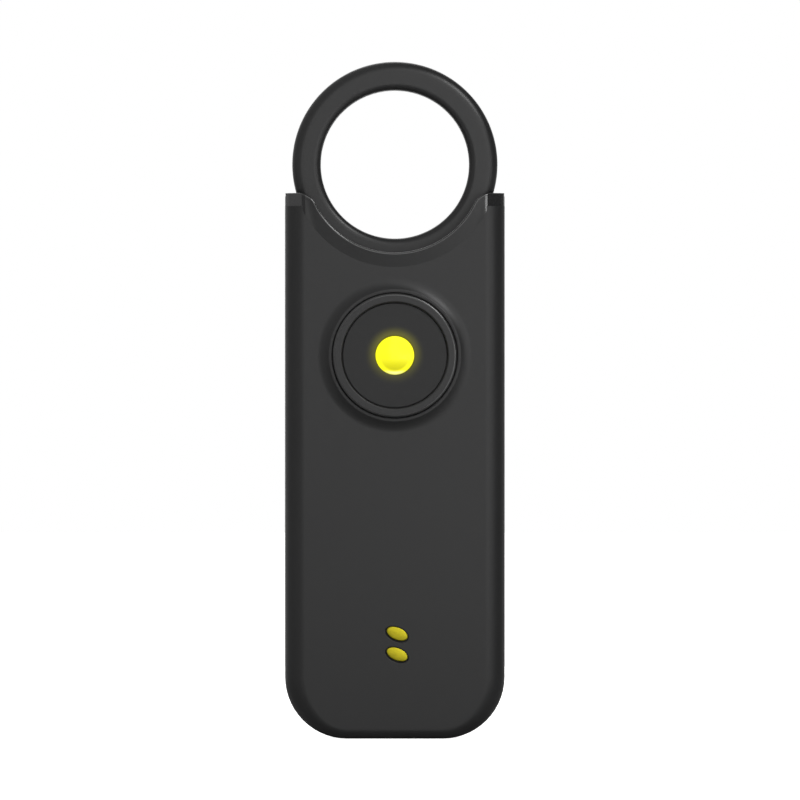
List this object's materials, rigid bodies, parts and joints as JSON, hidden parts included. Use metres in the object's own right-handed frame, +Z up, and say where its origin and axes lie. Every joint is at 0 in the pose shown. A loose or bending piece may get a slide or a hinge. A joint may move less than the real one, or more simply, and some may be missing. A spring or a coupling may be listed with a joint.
{
  "type": "personal safety alarm",
  "caption": "Slim pocket personal alarm: charcoal case with a pull ring in a slot at the top, a round button with a lit lens, and charging contacts.",
  "frame": {"origin": "middle of the underside of the upright case, midway between the button's face and the back", "axes": "+Z up the case towards the pull ring, the direction in which the ring is pulled; -Y out of the face with the button; +X to the right as seen from the front"},
  "size_m": [0.032, 0.014, 0.0986],
  "materials": {
    "case": "fine matte charcoal moulded plastic",
    "ring": "matte charcoal moulded plastic, a little smoother than the case",
    "button": "matte charcoal moulded plastic",
    "insert": "soft-touch dark rubber",
    "lens": "glossy yellow translucent lens, lit",
    "gold": "gold-plated, satin",
    "rubber": "black silicone",
    "black_plastic": "black moulded plastic",
    "white_plastic": "white moulded plastic",
    "board": "green solder mask",
    "led": "white light-emitting diode housing",
    "steel": "nickel-plated steel",
    "brass": "bare brass sheet",
    "ceramic": "fired ceramic",
    "ferrite": "grey-black ferrite",
    "battery_foil": "laminated aluminium pouch",
    "foam": "black foam tape",
    "lead_cover": "red silicone lead cover",
    "mesh": "fine black woven mesh"
  },
  "bodies": {
    "case": {"front_cover": "case", "rear_cover": "case", "tongue_gasket": "rubber", "circuit_board": "board", "led_chip": "led", "button_switch": "black_plastic", "trip_switch": "black_plastic", "upper_charging_contact": "gold", "lower_charging_contact": "gold", "contact_seal": "rubber", "charger_magnets": "steel", "controller_chip": "black_plastic", "charger_chip": "black_plastic", "capacitors": "ceramic", "step_up_coil": "ferrite", "battery": "battery_foil", "battery_pad": "foam", "battery_leads": "lead_cover", "sounder_ring": "black_plastic", "piezo_plate": "brass", "piezo_ceramic": "ceramic", "sounder_mesh": "mesh", "sounder_leads": "lead_cover", "shell_screws": "steel"},
    "ring": {"pull_ring": "ring"},
    "trip_plunger": {"trip_switch_plunger": "white_plastic"},
    "button": {"button_cap": "button", "button_insert": "insert", "led_lens": "lens"},
    "button_plunger": {"button_switch_plunger": "white_plastic"}
  },
  "joints": [
    {"name": "ring_pull", "type": "slide", "parent": "case", "child": "ring", "axis": [0, 0, 1], "range_m": [0, 0.024]},
    {"name": "trip_plunger_slide", "type": "slide", "parent": "case", "child": "trip_plunger", "axis": [0, 0, 1], "range_m": [0, 0.001]},
    {"name": "button_press", "type": "slide", "parent": "case", "child": "button", "axis": [0, 1, 0], "range_m": [0, 0.0004], "stiffness_N_per_m": 3000, "springref_m": -0.0003},
    {"name": "button_plunger_slide", "type": "slide", "parent": "case", "child": "button_plunger", "axis": [0, 1, 0], "range_m": [0, 0.0004]}
  ],
  "couplings": [
    {"joint": "trip_plunger_slide", "follows": "ring_pull", "ratio": 0.0416},
    {"joint": "button_plunger_slide", "follows": "button_press", "ratio": 1}
  ]
}
